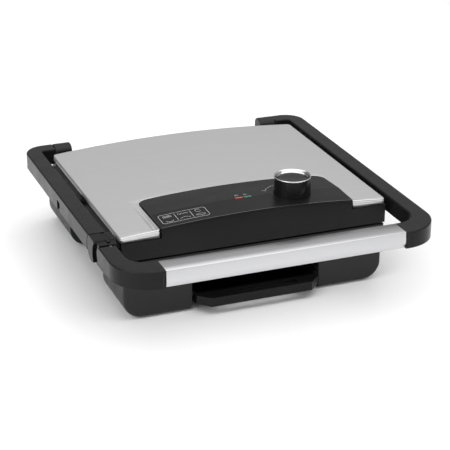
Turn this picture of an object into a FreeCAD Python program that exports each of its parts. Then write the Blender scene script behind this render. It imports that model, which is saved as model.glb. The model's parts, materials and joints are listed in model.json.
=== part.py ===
import FreeCAD, Part
import math
import os

import Sketcher

# Contact grill (panini press) with a floating lid carried in a U-shaped handle frame.
# Millimetres, +Z up.  The origin is on the floor under the middle of the outline:
# X runs across the grill, -Y is the front with the handle, +Y the hinge side.

# ---------------------------------------------------------------- driving sizes

SIZES = (
    # handle frame
    ("overall_width", 370.0),
    ("overall_depth", 407.0),
    ("arm_width", 19.5),
    ("arm_height", 19.5),
    ("arm_top", 98.0),
    ("arm_wall", 2.2),
    ("bar_depth", 27.5),
    ("bar_half", 137.0),
    ("front_round", 44.0),
    ("rear_round", 25.0),
    ("inner_round", 24.0),
    ("edge_round", 1.8),
    ("strip_gap", 2.5),
    ("strip_thick", 3.0),
    ("strip_height", 14.4),
    ("hinge_inner", 126.2),
    ("hinge_outer", 147.6),
    ("pin_radius", 3.0),
    ("running_fit", 0.05),
    ("pivot_along", 36.5),
    ("pivot_height", 86.0),
    # height selector at the front of the left arm
    ("selector_along", -94.5),
    ("selector_height", 85.5),
    ("selector_radius", 15.5),
    ("selector_tongue", 6.0),
    ("nose_end", -116.5),
    # base
    ("base_width", 310.0),
    ("base_front", -112.0),
    ("base_rear", 202.0),
    ("base_wall", 2.5),
    ("base_round", 21.0),
    ("foot_height", 1.5),
    ("arch_height", 34.0),
    ("arch_front", -34.0),
    ("arch_rear", 101.0),
    ("bay_half", 76.5),
    ("rim_low", 60.0),
    ("rim_top", 69.0),
    # cooking plates
    ("plate_half", 142.0),
    ("plate_front", -100.0),
    ("plate_rear", 152.0),
    ("plate_thick", 4.0),
    ("rib_height", 3.5),
    ("rib_width", 4.0),
    ("rib_pitch", 9.0),
    ("plate_gap", 1.0),
    ("element_radius", 3.25),
    # lid
    ("lid_bottom", 72.0),
    ("cover_width", 314.0),
    ("cover_front", -112.5),
    ("cover_rear", 161.0),
    ("cover_side", 99.5),
    ("camber", 7.5),
    ("cover_lip", 6.0),
    ("cover_sheet", 1.0),
    ("fascia_face", -114.3),
    ("panel_left", -111.0),
    ("panel_right", 115.0),
    ("panel_rear", -27.0),
    ("panel_round", 12.0),
    ("panel_front_top", 110.2),
    ("panel_ridge_top", 111.3),
    ("panel_rear_top", 108.2),
    ("panel_ridge", -77.0),
    ("panel_arch", 1250.0),
    # control knob
    ("knob_across", 56.0),
    ("knob_along", -80.0),
    ("knob_radius", 21.0),
    ("knob_bottom", 109.5),
    ("knob_top", 130.4),
    ("shaft_radius", 3.0),
    # drip tray
    ("tray_half", 73.0),
    ("tray_front", -131.0),
    ("tray_rear", 45.0),
    ("tray_bottom", 8.0),
    ("tray_top", 20.0),
    ("tray_wall", 1.8),
)

doc = FreeCAD.newDocument("panini_press")
sheet = doc.addObject("Spreadsheet::Sheet", "Sizes")
for row, (alias, number) in enumerate(SIZES, start=1):
    sheet.set(f"A{row}", alias)
    sheet.set(f"B{row}", str(number))
    sheet.setAlias(f"B{row}", alias)
doc.recompute()


class Size:
    """A length that carries its spreadsheet expression together with its value."""

    def __init__(self, text, value):
        self.text = text
        self.value = value

    def __add__(self, other):
        return Size(f"({self.text} + {text(other)})", self.value + value(other))

    def __radd__(self, other):
        return Size(f"({text(other)} + {self.text})", value(other) + self.value)

    def __sub__(self, other):
        return Size(f"({self.text} - {text(other)})", self.value - value(other))

    def __rsub__(self, other):
        return Size(f"({text(other)} - {self.text})", value(other) - self.value)

    def __mul__(self, other):
        return Size(f"({self.text} * {text(other)})", self.value * value(other))

    def __truediv__(self, other):
        return Size(f"({self.text} / {text(other)})", self.value / value(other))

    def __neg__(self):
        return Size(f"(-1 * {self.text})", -self.value)

    __rmul__ = __mul__


def text(size):
    return size.text if isinstance(size, Size) else f"({float(size)})"


def value(size):
    return size.value if isinstance(size, Size) else float(size)


def driving(alias):
    return Size(f"Sizes.{alias}", float(sheet.get(alias)))


def bind(item, prop, size):
    item.setExpression(prop, text(size))


# ------------------------------------------------------------- modelling helpers

AXIS_TURNS = {
    "X": FreeCAD.Rotation(FreeCAD.Vector(0, 1, 0), 90),
    "Y": FreeCAD.Rotation(FreeCAD.Vector(1, 0, 0), -90),
    "Z": FreeCAD.Rotation(),
}
SIDES = ((-1, "left"), (1, "right"))
nodes = []


def node(item, label):
    """Names a finished sub-part and lists it for export."""
    item.Label = label
    nodes.append(item)
    return item


def new_body(label):
    item = doc.addObject("PartDesign::Body", label)
    item.Label = label
    return item


def place(item, axis, corner):
    item.Placement = FreeCAD.Placement(FreeCAD.Vector(*map(value, corner)), AXIS_TURNS[axis])
    for letter, size in zip("xyz", corner):
        bind(item, f"Placement.Base.{letter}", size)


def feature(owner, kind, name):
    """Adds a primitive to a body, or a free one to the document when there is no body."""
    if owner is None:
        return doc.addObject(f"Part::{kind}", name)
    return owner.newObject(f"PartDesign::{kind}", name)


def box(owner, name, across, along, up, cut=False):
    kind = "Box" if owner is None else ("SubtractiveBox" if cut else "AdditiveBox")
    item = feature(owner, kind, name)
    for prop, (low, high) in zip(("Length", "Width", "Height"), (across, along, up)):
        bind(item, prop, high - low)
    place(item, "Z", (across[0], along[0], up[0]))
    return item


def rod(owner, name, axis, span, centre, radius, cut=False):
    """Cylinder along one axis; centre holds its two other coordinates in X, Y, Z order."""
    kind = "Cylinder" if owner is None else ("SubtractiveCylinder" if cut else "AdditiveCylinder")
    item = feature(owner, kind, name)
    bind(item, "Radius", radius)
    bind(item, "Height", span[1] - span[0])
    corner = list(centre)
    corner.insert("XYZ".index(axis), span[0])
    place(item, axis, corner)
    return item


def direction(edge):
    """Axis letter that a straight edge runs along, or None."""
    if edge.Curve.TypeId != "Part::GeomLine":
        return None
    run = edge.tangentAt(edge.FirstParameter)
    for letter, part in zip("XYZ", run):
        if abs(part) > 0.999:
            return letter
    return None


def edges_of(shape, choose):
    return [f"Edge{n}" for n, edge in enumerate(shape.Edges, start=1) if choose(edge)]


def dress(owner, kind, name, size, choose):
    """Fillet or Chamfer on the body's present edges that choose picks."""
    doc.recompute()
    base = owner.Tip
    picked = edges_of(base.Shape, choose)
    item = owner.newObject(f"PartDesign::{kind}", name)
    item.Base = (base, picked)
    bind(item, "Radius" if kind == "Fillet" else "Size", size)
    return item


def upright(test):
    return lambda edge: direction(edge) == "Z" and test(edge.CenterOfMass)


def combine(kind, name, base, tools):
    """Cut, Fuse or Common of a base with one or more tools."""
    tools = list(tools)
    if kind == "Cut":
        item = doc.addObject("Part::Cut", name)
        item.Base = base
        item.Tool = tools[0] if len(tools) == 1 else combine("Fuse", f"{name}_tools", tools[0], tools[1:])
        return item
    item = doc.addObject("Part::MultiFuse" if kind == "Fuse" else "Part::MultiCommon", name)
    item.Shapes = [base] + tools
    return item


def mirrored(side, near, far):
    """Span from near to far out from the middle plane, on the given side, low end first."""
    return (near, far) if side > 0 else (-far, -near)


def origin_plane(owner, role):
    return next(plane for plane in owner.Origin.OriginFeatures if plane.Role == role)


def new_sketch(owner, name, role, offset=0.0):
    item = owner.newObject("Sketcher::SketchObject", name)
    item.AttachmentSupport = [(origin_plane(owner, role), "")]
    item.MapMode = "FlatFace"
    bind(item, "AttachmentOffset.Base.z", offset)
    return item


def pin_point(item, geometry, point, spot):
    """Ties one end of a sketch line to its two coordinates, measured from the origin."""
    for kind, size in (("DistanceX", spot[0]), ("DistanceY", spot[1])):
        index = item.addConstraint(Sketcher.Constraint(kind, -1, 1, geometry, point, value(size)))
        bind(item, f"Constraints[{index}]", size)


def outline(item, spots):
    """Closed outline of straight lines through the given points."""
    vectors = [FreeCAD.Vector(value(a), value(b), 0) for a, b in spots]
    count = len(spots)
    for number in range(count):
        item.addGeometry(Part.LineSegment(vectors[number], vectors[(number + 1) % count]), False)
    for number in range(count):
        item.addConstraint(Sketcher.Constraint("Coincident", number, 2, (number + 1) % count, 1))
        pin_point(item, number, 1, spots[number])


def tilted_cylinder(name, radius, first, second, start, length):
    """Cylinder lying along Y whose top line passes through two (along, up) points."""
    slope = math.atan2(value(second[1]) - value(first[1]), value(second[0]) - value(first[0]))
    turn = FreeCAD.Rotation(FreeCAD.Vector(1, 0, 0), math.degrees(slope))
    item = doc.addObject("Part::Cylinder", name)
    bind(item, "Radius", radius)
    bind(item, "Height", length)
    item.Placement = FreeCAD.Placement(FreeCAD.Vector(), turn * AXIS_TURNS["Y"])
    run = start - first[0]
    bind(item, "Placement.Base.y", start + radius * math.sin(slope))
    bind(item, "Placement.Base.z", first[1] + run * math.tan(slope) - radius * math.cos(slope))
    return item


def screw(name, spot, head, shank, low, seat, high):
    """Upright screw: a head from low to seat and a shank from seat to high (or down to it)."""
    parts = [
        rod(None, f"{name}_head", "Z", (low, seat), spot, head),
        rod(None, f"{name}_shank", "Z", (seat, high) if value(high) > value(seat) else (high, low),
            spot, shank),
    ]
    return combine("Fuse", name, parts[0], parts[1:])


def group(label, items):
    """One node that holds several separate identical solids."""
    return node(combine("Fuse", label, items[0], items[1:]), label)


# ------------------------------------------------------------------ derived sizes

half_width = driving("overall_width") / 2
half_depth = driving("overall_depth") / 2
arm_width = driving("arm_width")
arm_height = driving("arm_height")
arm_top = driving("arm_top")
arm_wall = driving("arm_wall")
arm_inner = half_width - arm_width
arm_low = arm_top - arm_height
arm_middle = arm_top - arm_height / 2
bar_rear = driving("bar_depth") - half_depth
bar_half = driving("bar_half")
rear_inner = half_depth - arm_height
hinge_along = half_depth - arm_height / 2
hinge_spot = (hinge_along, arm_middle)
hinge_inner = driving("hinge_inner")
hinge_outer = driving("hinge_outer")
pin_radius = driving("pin_radius")
bore_radius = pin_radius + driving("running_fit")
pivot_spot = (driving("pivot_along"), driving("pivot_height"))
strip_inner = arm_inner + driving("strip_gap")
strip_outer = strip_inner + driving("strip_thick")
strip_low = arm_middle - driving("strip_height") / 2
strip_high = arm_middle + driving("strip_height") / 2
joint_gap = 0.4

selector_spot = (driving("selector_along"), driving("selector_height"))
core_spot = (20.6 - half_depth, arm_middle)
selector_radius = driving("selector_radius")
nose_end = driving("nose_end")

base_half = driving("base_width") / 2
base_front = driving("base_front")
base_rear = driving("base_rear")
base_wall = driving("base_wall")
base_bottom = driving("foot_height")
base_round = driving("base_round")
arch_height = driving("arch_height")
arch_front = driving("arch_front")
arch_rear = driving("arch_rear")
bay_half = driving("bay_half")
rim_low = driving("rim_low")
rim_top = driving("rim_top")
tub_floor = arch_height + base_wall

plate_half = driving("plate_half")
plate_front = driving("plate_front")
plate_rear = driving("plate_rear")
plate_thick = driving("plate_thick")
rib_height = driving("rib_height")
lower_face = rim_top - 2.5
lower_back = lower_face - plate_thick
upper_face = lower_face + rib_height * 2 + driving("plate_gap")
upper_back = upper_face + plate_thick
element_radius = driving("element_radius")

lid_bottom = driving("lid_bottom")
cover_half = driving("cover_width") / 2
cover_front = driving("cover_front")
cover_rear = driving("cover_rear")
cover_side = driving("cover_side")
camber = driving("camber")
cover_sheet = driving("cover_sheet")
cover_low = cover_side - driving("cover_lip")
cover_radius = cover_half * cover_half / (2 * camber) + camber / 2
fascia_face = driving("fascia_face")
panel_left = driving("panel_left")
panel_right = driving("panel_right")
panel_rear = driving("panel_rear")
panel_skin = 2.4
lens_starts = (-11.6, -1.3)
knob_spot = (driving("knob_across"), driving("knob_along"))
knob_radius = driving("knob_radius")
knob_bottom = driving("knob_bottom")
knob_top = driving("knob_top")
shaft_radius = driving("shaft_radius")

post_spots = [(x, y) for x in (-110, 110) for y in (-10, 80)]
boss_spots = [(x, y) for x in (-131, 131) for y in (-104.8, 168)]
foot_spots = [(x, y) for x in (-108, 108) for y in (-92, 182)]
tower_spots = [(x, y) for x in (-137, 137) for y in (187.5, 195.5)]


# --------------------------------------------------------------------------- base

def base_tub():
    """Upper shell of the base: an open tub that holds the lower plate and its element."""
    body = new_body("base_tub")
    box(body, "tub", (-base_half, base_half), (base_front, base_rear), (arch_height, rim_low))
    dress(body, "Fillet", "tub_rounds", 4, upright(lambda c: True))
    inside = base_half - base_wall
    box(body, "tub_room", (-inside, inside), (base_front + base_wall, base_rear - base_wall),
        (tub_floor, rim_low + 1), cut=True)
    for side, tag in SIDES:
        box(body, f"side_recess_{tag}", mirrored(side, base_half - 1.4, base_half + 1),
            (-86, arch_rear + 8), (arch_height - 1, rim_low - 3), cut=True)
    for number, spot in enumerate(post_spots):
        rod(body, f"post{number}", "Z", (arch_height, lower_back - 6.55), spot, 5)
        rod(body, f"post_hole{number}", "Z", (arch_height - 1, 56), spot, 2.1, cut=True)
    for number, spot in enumerate(boss_spots):
        rod(body, f"boss_hole{number}", "Z", (arch_height - 1, tub_floor + 1), spot, 4.5, cut=True)
    box(body, "drain_hole", (-12, 12), (-100, -86), (arch_height - 1, tub_floor + 1), cut=True)
    rod(body, "cord_hole", "Y", (base_rear - base_wall - 1, base_rear + 1), (-95, 45), 6.5, cut=True)
    return node(body, "base_tub")


def leg_block(label, across, along, outer_sides):
    """Open-topped hollow leg under the tub; its outer lower edges have a large round."""
    body = new_body(label)
    box(body, f"{label}_block", across, along, (base_bottom, arch_height))
    edge_x = value(base_half)
    low_z = value(base_bottom)
    dress(body, "Fillet", f"{label}_side_round", base_round,
          lambda edge: direction(edge) == "Y" and abs(abs(edge.CenterOfMass.x) - edge_x) < 0.01
          and abs(edge.CenterOfMass.z - low_z) < 0.01)
    ends = (value(base_front), value(base_rear))
    dress(body, "Fillet", f"{label}_corner_round", 4,
          upright(lambda c: abs(abs(c.x) - edge_x) < 0.01 and min(abs(c.y - end) for end in ends) < 0.01))
    room_along = (along[0] + base_wall, along[1] - base_wall)
    low_x, high_x = across[0] + base_wall, across[1] - base_wall
    inner_round = base_round - base_wall
    centre_z = base_bottom + base_round
    flat_low = low_x + inner_round if -1 in outer_sides else low_x
    flat_high = high_x - inner_round if 1 in outer_sides else high_x
    box(body, f"{label}_floor", (flat_low, flat_high), room_along,
        (base_bottom + base_wall, arch_height + 1), cut=True)
    box(body, f"{label}_room", (low_x, high_x), room_along, (centre_z, arch_height + 1), cut=True)
    for side in outer_sides:
        round_x = flat_low if side < 0 else flat_high
        rod(body, f"{label}_round{side + 1}", "Y", room_along, (round_x, centre_z), inner_round, cut=True)

    def within(spot):
        return (value(across[0]) < spot[0] < value(across[1])
                and value(along[0]) < spot[1] < value(along[1]))

    for number, spot in enumerate(filter(within, boss_spots)):
        rod(body, f"{label}_tube{number}", "Z", (base_bottom + 0.6, 14), spot, 5.5)
        rod(body, f"{label}_sink{number}", "Z", (base_bottom - 1, 11.5), spot, 4, cut=True)
        rod(body, f"{label}_screw_hole{number}", "Z", (11, 15), spot, 1.9, cut=True)
    for number, spot in enumerate(filter(within, foot_spots)):
        rod(body, f"{label}_foot_hole{number}", "Z",
            (base_bottom - 1, base_bottom + base_wall + 1), spot, 3.1, cut=True)
    return body


def base_legs():
    for side, tag in SIDES:
        body = leg_block(f"leg_front_{tag}", mirrored(side, bay_half, base_half), (base_front, arch_front),
                         (side,))
        box(body, f"tray_ledge_{tag}", mirrored(side, driving("tray_half") + 0.6, bay_half + 1),
            (base_front + 4, arch_front), (16, 18.7))
        node(body, f"leg_front_{tag}")
    body = leg_block("leg_rear", (-base_half, base_half), (arch_rear, base_rear), (-1, 1))
    slot = box(body, "vent", (20, 23), (base_rear - base_wall - 1, base_rear + 1), (12, 30), cut=True)
    vents = body.newObject("PartDesign::LinearPattern", "vents")
    vents.Originals = [slot]
    vents.Direction = (origin_axis(body, "X_Axis"), [""])
    bind(vents, "Length", 72)
    vents.Occurrences = 10
    body.Tip = vents
    node(body, "leg_rear")


def origin_axis(owner, role):
    return next(axis for axis in owner.Origin.OriginFeatures if axis.Role == role)


def base_rim():
    body = new_body("base_rim")
    rim_half = base_half + 2.5
    box(body, "slab", (-rim_half, rim_half), (base_front, base_rear), (rim_low, rim_top))
    edge_x = value(rim_half)
    dress(body, "Fillet", "front_rounds", 3, upright(lambda c: c.y < value(base_front) + 0.01))
    dress(body, "Fillet", "rear_rounds", 4, upright(lambda c: c.y > value(base_rear) - 0.01))
    dress(body, "Fillet", "top_round", 1.2,
          lambda edge: abs(edge.CenterOfMass.z - value(rim_top)) < 0.01
          and abs(edge.CenterOfMass.x) < edge_x + 1)
    fit = 0.6
    box(body, "plate_opening", (-plate_half - fit, plate_half + fit),
        (plate_front - fit, plate_rear + fit), (rim_low - 1, rim_top + 1), cut=True)
    skirt = 3.0
    inside = base_half - base_wall
    room = (rim_low - 1, rim_top - 3)
    box(body, "rear_room", (-inside, inside), (plate_rear + skirt, base_rear - base_wall), room, cut=True)
    box(body, "front_room", (-inside, inside), (base_front + base_wall, plate_front - skirt), room, cut=True)
    for side, tag in SIDES:
        box(body, f"side_room_{tag}", mirrored(side, plate_half + skirt, inside),
            (plate_front - skirt - 1, plate_rear + skirt + 1), room, cut=True)
    for number, spot in enumerate(boss_spots):
        rod(body, f"boss{number}", "Z", (14.3, rim_top - 2), spot, 4)
        rod(body, f"pilot{number}", "Z", (14, 34), spot, 1.5, cut=True)
    for number, spot in enumerate(tower_spots):
        rod(body, f"tower_hole{number}", "Z", (rim_low, rim_top + 1), spot, 2.0, cut=True)
    return node(body, "base_rim")


def cooking_plate(label, face, back, rib_tip):
    """Ribbed plate; the ribs run front to back and the fixing bosses stand on its back."""
    down = value(rib_tip) < value(face)
    body = new_body(label)
    box(body, f"{label}_slab", (-plate_half, plate_half), (plate_front, plate_rear),
        (face, back) if down else (back, face))
    dress(body, "Fillet", f"{label}_corners", 8, upright(lambda c: True))
    rib_width = driving("rib_width")
    pitch = driving("rib_pitch")
    first = -14 * pitch
    rib = box(body, f"{label}_rib", (first - rib_width / 2, first + rib_width / 2), (-85, plate_rear - 5),
              (rib_tip, face + 0.5) if down else (face - 0.5, rib_tip))
    ribs = body.newObject("PartDesign::LinearPattern", f"{label}_ribs")
    ribs.Originals = [rib]
    ribs.Direction = (origin_axis(body, "X_Axis"), [""])
    bind(ribs, "Length", 28 * pitch)
    ribs.Occurrences = 29
    body.Tip = ribs
    for number, spot in enumerate(post_spots):
        span = (back, back + 12.6) if down else (back - 6.5, back)
        pilot = (back + 1, back + 13) if down else (back - 7, back - 1)
        rod(body, f"{label}_boss{number}", "Z", span, spot, 5)
        rod(body, f"{label}_pilot{number}", "Z", pilot, spot, 1.65, cut=True)
    if not down:
        box(body, "gutter", (-134, 134), (-97, -89), (face - 2, face + 1), cut=True)
        rod(body, "drain", "Z", (back - 1, face + 1), (0, -93), 4.5, cut=True)
    return node(body, label)


def element_route(spots, radius):
    """Straight runs through the given points, joined by tangent arcs of one radius."""
    edges = []
    start = spots[0]
    for before, corner, after in zip(spots, spots[1:], spots[2:]):
        back = (before - corner).normalize()
        ahead = (after - corner).normalize()
        half_angle = back.getAngle(ahead) / 2
        reach = radius / math.tan(half_angle)
        centre = corner + (back + ahead).normalize() * (radius / math.sin(half_angle))
        enter = corner + back * reach
        leave = corner + ahead * reach
        edges.append(Part.LineSegment(start, enter).toShape())
        middle = centre + (corner - centre).normalize() * radius
        edges.append(Part.Arc(enter, middle, leave).toShape())
        start = leave
    edges.append(Part.LineSegment(start, spots[-1]).toShape())
    return Part.Wire(edges)


def heating_element(label, height):
    """Sheathed tube bent into one flat loop; both cold ends point to the hinge side."""
    corners = [(-25, 143), (-25, 112), (-95, 112), (-95, -62), (95, -62), (95, 112), (25, 112), (25, 143)]
    spots = [FreeCAD.Vector(x, y, 0) for x, y in corners]
    route = element_route(spots, 14.0)
    circle = Part.Circle(spots[0], FreeCAD.Vector(0, 1, 0), value(element_radius)).toShape()
    tube = route.makePipeShell([Part.Wire([circle])], True, False)
    item = doc.addObject("Part::Feature", label)
    item.Shape = tube
    item.Placement = FreeCAD.Placement(FreeCAD.Vector(0, 0, value(height)), FreeCAD.Rotation())
    return node(item, label)


def reflector(label, front, low, high, open_up, hole):
    """Pressed sheet tray that sends the heat back to its plate."""
    sheet_thick = 0.8
    body = new_body(label)
    box(body, f"{label}_tray", (-138, 138), (front, plate_rear - 4), (low, high))
    room = (low + sheet_thick, high + 1) if open_up else (low - 1, high - sheet_thick)
    box(body, f"{label}_room", (sheet_thick - 138, 138 - sheet_thick),
        (front + sheet_thick, plate_rear - 4 - sheet_thick), room, cut=True)
    for number, spot in enumerate(post_spots):
        rod(body, f"{label}_hole{number}", "Z", (low - 1, high + 1), spot, hole, cut=True)
    return node(body, label)


def drip_tray():
    body = new_body("drip_tray")
    half = driving("tray_half")
    front = driving("tray_front")
    rear = driving("tray_rear")
    low = driving("tray_bottom")
    high = driving("tray_top")
    wall = driving("tray_wall")
    pan_front = base_front - 0.6
    box(body, "handle", (-half, half), (front, pan_front + 2), (low + 2, high))
    dress(body, "Chamfer", "handle_corners", 13, upright(lambda c: c.y < value(front) + 0.01))
    dress(body, "Fillet", "handle_edges", 1.0,
          lambda edge: abs(edge.CenterOfMass.z - value(high)) < 0.01
          and edge.CenterOfMass.y < value(pan_front))
    box(body, "pan", (-half, half), (pan_front, rear), (low, high))
    box(body, "flange", (-bay_half + 0.5, bay_half - 0.5), (base_front + 4, rear), (high - 1, high + 0.8))
    box(body, "pan_room", (wall - half, half - wall), (pan_front + wall, rear - wall), (low + wall, high + 2),
        cut=True)
    box(body, "finger_hole", (-46, 46), (front + 7, pan_front - 2.5), (low, high + 1), cut=True)
    return node(body, "drip_tray")


def base_small_parts():
    for side, tag in SIDES:
        rail = new_body(f"tray_rail_{tag}")
        box(rail, f"rail_web_{tag}", mirrored(side, bay_half + 0.1, bay_half + 2.5), (-33.5, 60), (16, 33.95))
        box(rail, f"rail_foot_{tag}", mirrored(side, driving("tray_half") + 0.7, bay_half + 1), (-33.5, 60),
            (16, 18.7))
        node(rail, f"tray_rail_{tag}")
        tower = new_body(f"hinge_tower_{tag}")
        width = mirrored(side, hinge_inner, hinge_outer)
        box(tower, f"tower_post_{tag}", width, (hinge_along - arm_height / 2, hinge_along + arm_height / 2),
            (rim_top, arm_top + 2))
        top = value(arm_top) + 2
        dress(tower, "Fillet", f"tower_rounds_{tag}", 8, lambda edge: direction(edge) == "X"
              and abs(edge.CenterOfMass.z - top) < 0.01)
        dress(tower, "Fillet", f"tower_edges_{tag}", 1.2, lambda edge: edge.CenterOfMass.z > value(arm_middle)
              and direction(edge) != "X")
        rod(tower, f"tower_bore_{tag}", "X", (width[0] - 1, width[1] + 1), hinge_spot, bore_radius, cut=True)
        for number, spot in enumerate(spot for spot in tower_spots if spot[0] * side > 0):
            rod(tower, f"tower_pilot_{tag}{number}", "Z", (rim_top - 1, 80), spot, 1.8, cut=True)
        node(tower, f"hinge_tower_{tag}")
    group("tower_screws", [screw(f"tower_screw{number}", spot, 3.2, 1.75, 63.4, 65.9, 79)
                           for number, spot in enumerate(tower_spots)])
    group("base_screws", [screw(f"base_screw{number}", spot, 3.6, 1.45, 9, 11.4, 32)
                          for number, spot in enumerate(boss_spots)])
    group("lower_plate_screws", [screw(f"lower_screw{number}", spot, 3.8, 1.6, 31.6, 33.9, 60)
                                 for number, spot in enumerate(post_spots)])
    feet = []
    for number, spot in enumerate(foot_spots):
        parts = [rod(None, f"foot_pad{number}", "Z", (0, base_bottom), spot, 9),
                 rod(None, f"foot_stem{number}", "Z", (0, 6.5), spot, 3.0),
                 rod(None, f"foot_barb{number}", "Z", (4.6, 6.5), spot, 4.2)]
        feet.append(combine("Fuse", f"foot{number}", parts[0], parts[1:]))
    group("rubber_feet", feet)
    spout = new_body("drain_spout")
    box(spout, "spout_wall", (-10, 10), (-98.8, -87), (28, lower_back - 0.5))
    box(spout, "spout_flange", (-15, 15), (-102.5, -84.5), (tub_floor + 0.1, tub_floor + 2))
    box(spout, "spout_bore", (-8.2, 8.2), (-97, -88.8), (27, lower_back), cut=True)
    node(spout, "drain_spout")
    inlet = new_body("cord_inlet")
    rod(inlet, "inlet_flange", "Y", (base_rear + 0.1, half_depth), (-95, 45), 8.5)
    rod(inlet, "inlet_neck", "Y", (base_rear - 9, base_rear + 0.5), (-95, 45), 6.4)
    rod(inlet, "inlet_bore", "Y", (base_rear - 10, half_depth + 1), (-95, 45), 3.6, cut=True)
    node(inlet, "cord_inlet")
    block = new_body("terminal_block")
    box(block, "block_body", (-62, -26), (166, 182), (tub_floor + 0.1, tub_floor + 16))
    for number, across in enumerate((-56, -44, -32)):
        rod(block, f"wire_hole{number}", "Y", (165, 183), (across, tub_floor + 8), 2.6, cut=True)
        rod(block, f"clamp_hole{number}", "Z", (tub_floor + 8, tub_floor + 17), (across, 174), 2.2, cut=True)
    node(block, "terminal_block")


# ------------------------------------------------------------------- handle frame

def frame_ring(name, inset, low, high, rounded):
    """Closed rectangular ring in the outline of the handle frame, shrunk by inset all round."""
    body = new_body(name)
    outer_x = half_width - inset
    outer_y = half_depth - inset
    inner_x = arm_inner + inset
    box(body, f"{name}_outside", (-outer_x, outer_x), (-outer_y, outer_y), (low, high))
    dress(body, "Fillet", f"{name}_front", driving("front_round") - inset, upright(lambda c: c.y < 0))
    dress(body, "Fillet", f"{name}_rear", driving("rear_round") - inset,
          upright(lambda c: c.y > value(outer_y) - 1))
    box(body, f"{name}_inside", (-inner_x, inner_x), (bar_rear - inset, rear_inner + inset),
        (low - 1, high + 1), cut=True)
    inner_value = value(inner_x)
    dress(body, "Fillet", f"{name}_inner_front", driving("inner_round") + inset,
          upright(lambda c: abs(abs(c.x) - inner_value) < 0.01 and c.y < 0))
    dress(body, "Fillet", f"{name}_inner_rear", 5 + inset,
          upright(lambda c: abs(abs(c.x) - inner_value) < 0.01 and c.y > 0))
    if rounded:
        dress(body, "Fillet", f"{name}_top", driving("edge_round"),
              lambda edge: abs(edge.CenterOfMass.z - value(high)) < 0.01)
    return body


def frame_pieces():
    """Splits a shell and a floor ring into right arm, left arm and left front corner."""
    outside = frame_ring("ring_outside", Size("0.0", 0.0), arm_low, arm_top, True)
    inside = frame_ring("ring_inside", arm_wall, arm_low - 2, arm_top - arm_wall, False)
    shell = combine("Cut", "ring_shell", outside, [inside])
    floor = frame_ring("ring_floor", arm_wall + 0.15, arm_low, arm_low + arm_wall, False)
    tall = (arm_low - 5, arm_top + 5)
    long = (-half_depth - 1, half_depth + 1)
    end_x = bar_half + 0.15
    for tag, ring in (("shell", shell), ("floor", floor)):
        for side, hand in SIDES:
            rear_gap = box(None, f"rear_gap_{hand}_{tag}",
                           mirrored(side, Size("0.0", 0.0), hinge_outer + joint_gap),
                           (rear_inner - 10, half_depth + 1), tall)
            slot = box(None, f"pivot_slot_{hand}_{tag}",
                       mirrored(side, half_width - arm_wall - 1, half_width + 1),
                       (pivot_spot[0] - 5.5, pivot_spot[0] + 5.5), (arm_low - 1, pivot_spot[1] + 4))
            bush = rod(None, f"pivot_gap_{hand}_{tag}", "X",
                       mirrored(side, arm_inner - 1, arm_inner + arm_wall + 1), pivot_spot, 7.1)
            along = long if side > 0 else (selector_spot[0] + 5, half_depth + 1)
            region = box(None, f"region_{hand}_{tag}", mirrored(side, end_x, half_width + 1), along, tall)
            kept = combine("Common", f"kept_{hand}_{tag}", ring, [region])
            cuts = [rear_gap, slot, bush]
            if side < 0:
                cuts.append(rod(None, f"selector_gap_{tag}", "X", (-half_width - 1, -arm_inner + 8),
                                selector_spot, selector_radius + joint_gap))
            label = f"arm_{hand}" if tag == "shell" else f"arm_{hand}_floor"
            node(combine("Cut", label, kept, cuts), label)
        region = box(None, f"corner_region_{tag}", (-half_width - 1, -end_x), (-half_depth - 1, nose_end),
                     tall)
        nose_centre = nose_end - arm_height / 2
        nose = combine("Fuse", f"nose_{tag}",
                       box(None, f"nose_block_{tag}", (-half_width - 1, -end_x),
                           (-half_depth - 1, nose_centre), (arm_low, arm_top)),
                       [rod(None, f"nose_round_{tag}", "X", (-half_width - 1, -end_x),
                            (nose_centre, arm_middle), arm_height / 2)])
        label = "corner_left" if tag == "shell" else "corner_left_floor"
        node(combine("Common", label, ring, [region, nose]), label)


def arm_link():
    """Dark block that joins the left arm to the front corner, just ahead of the selector."""
    body = new_body("arm_link")
    outer = half_width - 3
    inner = arm_inner - 3.5
    front = nose_end - 21.5
    low = selector_spot[1] - 14.5
    box(body, "link_wall", (-outer, -inner), (nose_end + 0.3, nose_end + 13), (low, arm_top - 1.5))
    box(body, "link_sole", (-outer, -strip_outer - joint_gap), (front, nose_end + 1), (low, arm_low - 0.2))
    box(body, "link_tongue", (-half_width + arm_wall + 0.2, -strip_outer - joint_gap),
        (front + 2, nose_end + 1), (arm_low + arm_wall + 0.2, arm_top - arm_wall - 0.2))
    dress(body, "Fillet", "link_toe", 5, lambda edge: direction(edge) == "X"
          and abs(edge.CenterOfMass.y - value(front)) < 0.01 and edge.CenterOfMass.z < value(low) + 0.01)
    rod(body, "link_pocket", "X", (-half_width, -arm_inner + 8), selector_spot,
        selector_radius + joint_gap, cut=True)
    box(body, "link_strip_gap", (-strip_outer - 0.2, -strip_inner + 0.2), (front, nose_end + 14),
        (strip_low - 0.2, strip_high + 0.2), cut=True)
    box(body, "link_bridge", (-strip_outer - 0.1, -strip_inner + 0.1),
        (nose_end + 6, selector_spot[0] + 7.5), (strip_high + 0.2, arm_top - 0.5))
    return node(body, "arm_link")


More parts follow.
